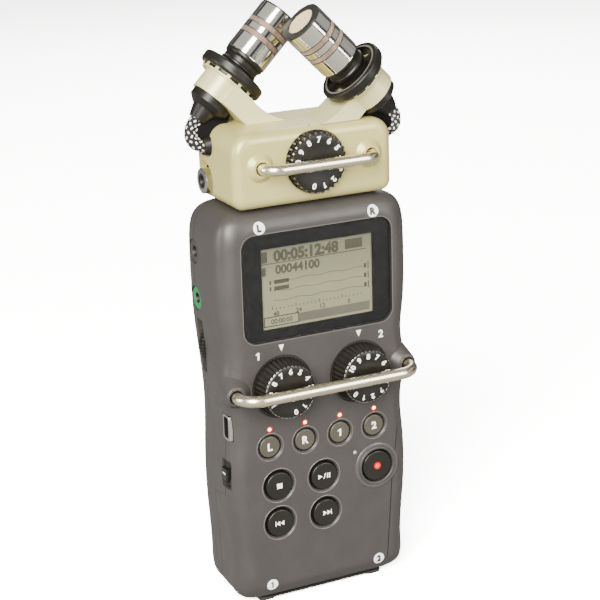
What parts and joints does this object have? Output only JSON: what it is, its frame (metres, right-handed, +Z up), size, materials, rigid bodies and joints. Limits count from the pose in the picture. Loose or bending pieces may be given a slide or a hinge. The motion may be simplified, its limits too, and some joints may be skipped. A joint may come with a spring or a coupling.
{
  "type": "portable field recorder",
  "caption": "Handheld audio field recorder standing on its connector end, with a lift-off crossed-pair microphone capsule, level knobs, guard bars, display and keys.",
  "frame": {"origin": "middle of the overall footprint, on the surface that the recorder stands on", "axes": "+Z up towards the microphones, -Y the side with the display, +X the user's right"},
  "size_m": [0.0685, 0.0462, 0.1957],
  "materials": {
    "shell_graphite": "fine textured, matte",
    "capsule_champagne": "satin metallic paint",
    "arm_grey": "satin metallic paint",
    "window_clear": "clear, glossy",
    "bezel_black": "glossy",
    "lcd_grey": "smooth",
    "board_green": "solder resist",
    "speaker_black": "matte",
    "cell_silver": "satin",
    "contact_nickel": "plated",
    "bar_nickel": "satin nickel",
    "part_black": "moulded",
    "lamp_red": "lit",
    "jack_black": "moulded",
    "jack_green": "moulded",
    "jack_silver": "plated",
    "socket_black": "moulded",
    "knob_black": "fine knurl",
    "key_black": "satin",
    "track_grey": "satin",
    "mic_chrome": "polished",
    "band_mesh": "woven mesh",
    "rim_black": "satin",
    "grille_gold": "perforated",
    "ring_rubber": "matte",
    "cable_braid": "braided sleeve with light flecks"
  },
  "bodies": {
    "recorder": {"front_shell": "shell_graphite", "rear_shell": "shell_graphite", "display_window": "window_clear", "lcd_bezel": "bezel_black", "lcd_panel": "lcd_grey", "main_board": "board_green", "speaker": "speaker_black", "aa_batteries": "cell_silver", "battery_contacts": "contact_nickel", "case_screws": "contact_nickel", "guard_bar": "bar_nickel", "gain_potentiometers": "part_black", "capsule_socket": "part_black", "card_slot": "part_black", "connector_plate": "part_black", "track_lamps": "lamp_red", "line_out_jack": "jack_black", "remote_jack": "jack_black", "phones_jack": "jack_green", "usb_port": "jack_silver", "tripod_insert": "jack_silver", "combo_jack_1": "socket_black", "combo_jack_2": "socket_black"},
    "battery_cover": {"battery_cover": "shell_graphite"},
    "volume_wheel": {"volume_wheel": "knob_black"},
    "power_switch": {"power_switch": "key_black"},
    "menu_button": {"menu_button": "key_black"},
    "scroll_lever": {"scroll_lever": "key_black"},
    "card_door": {"card_door": "shell_graphite"},
    "gain_knob_1": {"gain_knob_1": "knob_black"},
    "gain_knob_2": {"gain_knob_2": "knob_black"},
    "capsule": {"capsule_front_shell": "capsule_champagne", "capsule_rear_shell": "capsule_champagne", "capsule_guard_bar": "bar_nickel", "capsule_potentiometer": "part_black", "capsule_plug": "part_black", "line_in_jack": "jack_silver", "mic_body_right": "mic_chrome", "mic_body_left": "mic_chrome", "mic_arm_right": "arm_grey", "mic_arm_left": "arm_grey", "mic_bands": "band_mesh", "mic_front_rims": "rim_black", "mic_grilles": "grille_gold", "shock_rings": "ring_rubber", "ring_spiders": "ring_rubber", "cable_boots": "ring_rubber", "mic_cables": "cable_braid"},
    "capsule_knob": {"capsule_knob": "knob_black"},
    "release_button_left": {"release_button_left": "key_black"},
    "release_button_right": {"release_button_right": "key_black"},
    "stop_button": {"stop_button": "key_black"},
    "play_button": {"play_button": "key_black"},
    "record_button": {"record_button": "key_black"},
    "rewind_button": {"rewind_button": "key_black"},
    "forward_button": {"forward_button": "key_black"},
    "track_button_left": {"track_button_left": "track_grey"},
    "track_button_right": {"track_button_right": "track_grey"},
    "track_button_one": {"track_button_one": "track_grey"},
    "track_button_two": {"track_button_two": "track_grey"}
  },
  "joints": [
    {"name": "battery_cover_lift", "type": "slide", "parent": "recorder", "child": "battery_cover", "axis": [0, 1, 0], "range_m": [0, 0.015]},
    {"name": "volume_turn", "type": "hinge", "parent": "recorder", "child": "volume_wheel", "pos_m": [-0.0243, 0.00912, 0.087], "axis": [0, 1, 0], "range_deg": [-135, 135]},
    {"name": "power_slide", "type": "slide", "parent": "recorder", "child": "power_switch", "axis": [0, 0, 1], "range_m": [-0.002, 0.002]},
    {"name": "menu_press", "type": "slide", "parent": "recorder", "child": "menu_button", "axis": [-1, 0, 0], "range_m": [0, 0.0006], "stiffness_N_per_m": 300, "springref_m": -0.0005},
    {"name": "scroll_tilt", "type": "hinge", "parent": "recorder", "child": "scroll_lever", "pos_m": [0.0284, 0.00512, 0.106], "axis": [0, 1, 0], "range_deg": [-8, 8], "stiffness_Nm_per_rad": 0.02},
    {"name": "card_door_hinge", "type": "hinge", "parent": "recorder", "child": "card_door", "pos_m": [0.0312, -0.00028, 0.0404], "axis": [0, 1, 0], "range_deg": [0, 80]},
    {"name": "gain_turn_1", "type": "hinge", "parent": "recorder", "child": "gain_knob_1", "pos_m": [-0.0139, -0.01188, 0.076], "axis": [0, 1, 0], "range_deg": [-168, 112]},
    {"name": "gain_turn_2", "type": "hinge", "parent": "recorder", "child": "gain_knob_2", "pos_m": [0.0139, -0.01188, 0.076], "axis": [0, 1, 0], "range_deg": [-224, 56]},
    {"name": "stop_press", "type": "slide", "parent": "recorder", "child": "stop_button", "axis": [0, 1, 0], "range_m": [0, 0.0006], "stiffness_N_per_m": 300, "springref_m": -0.0005},
    {"name": "play_press", "type": "slide", "parent": "recorder", "child": "play_button", "axis": [0, 1, 0], "range_m": [0, 0.0006], "stiffness_N_per_m": 300, "springref_m": -0.0005},
    {"name": "record_press", "type": "slide", "parent": "recorder", "child": "record_button", "axis": [0, 1, 0], "range_m": [0, 0.0006], "stiffness_N_per_m": 300, "springref_m": -0.0005},
    {"name": "rewind_press", "type": "slide", "parent": "recorder", "child": "rewind_button", "axis": [0, 1, 0], "range_m": [0, 0.0006], "stiffness_N_per_m": 300, "springref_m": -0.0005},
    {"name": "forward_press", "type": "slide", "parent": "recorder", "child": "forward_button", "axis": [0, 1, 0], "range_m": [0, 0.0006], "stiffness_N_per_m": 300, "springref_m": -0.0005},
    {"name": "track_left_press", "type": "slide", "parent": "recorder", "child": "track_button_left", "axis": [0, 1, 0], "range_m": [0, 0.0006], "stiffness_N_per_m": 300, "springref_m": -0.0005},
    {"name": "track_right_press", "type": "slide", "parent": "recorder", "child": "track_button_right", "axis": [0, 1, 0], "range_m": [0, 0.0006], "stiffness_N_per_m": 300, "springref_m": -0.0005},
    {"name": "track_one_press", "type": "slide", "parent": "recorder", "child": "track_button_one", "axis": [0, 1, 0], "range_m": [0, 0.0006], "stiffness_N_per_m": 300, "springref_m": -0.0005},
    {"name": "track_two_press", "type": "slide", "parent": "recorder", "child": "track_button_two", "axis": [0, 1, 0], "range_m": [0, 0.0006], "stiffness_N_per_m": 300, "springref_m": -0.0005},
    {"name": "capsule_lift", "type": "slide", "parent": "recorder", "child": "capsule", "axis": [0, 0, 1], "range_m": [0, 0.015]},
    {"name": "capsule_level_turn", "type": "hinge", "parent": "capsule", "child": "capsule_knob", "pos_m": [0, -0.01188, 0.148], "axis": [0, 1, 0], "range_deg": [-196, 84]},
    {"name": "release_left_press", "type": "slide", "parent": "capsule", "child": "release_button_left", "axis": [0, -1, 0], "range_m": [0, 0.001], "stiffness_N_per_m": 300, "springref_m": -0.0005},
    {"name": "release_right_press", "type": "slide", "parent": "capsule", "child": "release_button_right", "axis": [0, -1, 0], "range_m": [0, 0.001], "stiffness_N_per_m": 300, "springref_m": -0.0005}
  ]
}
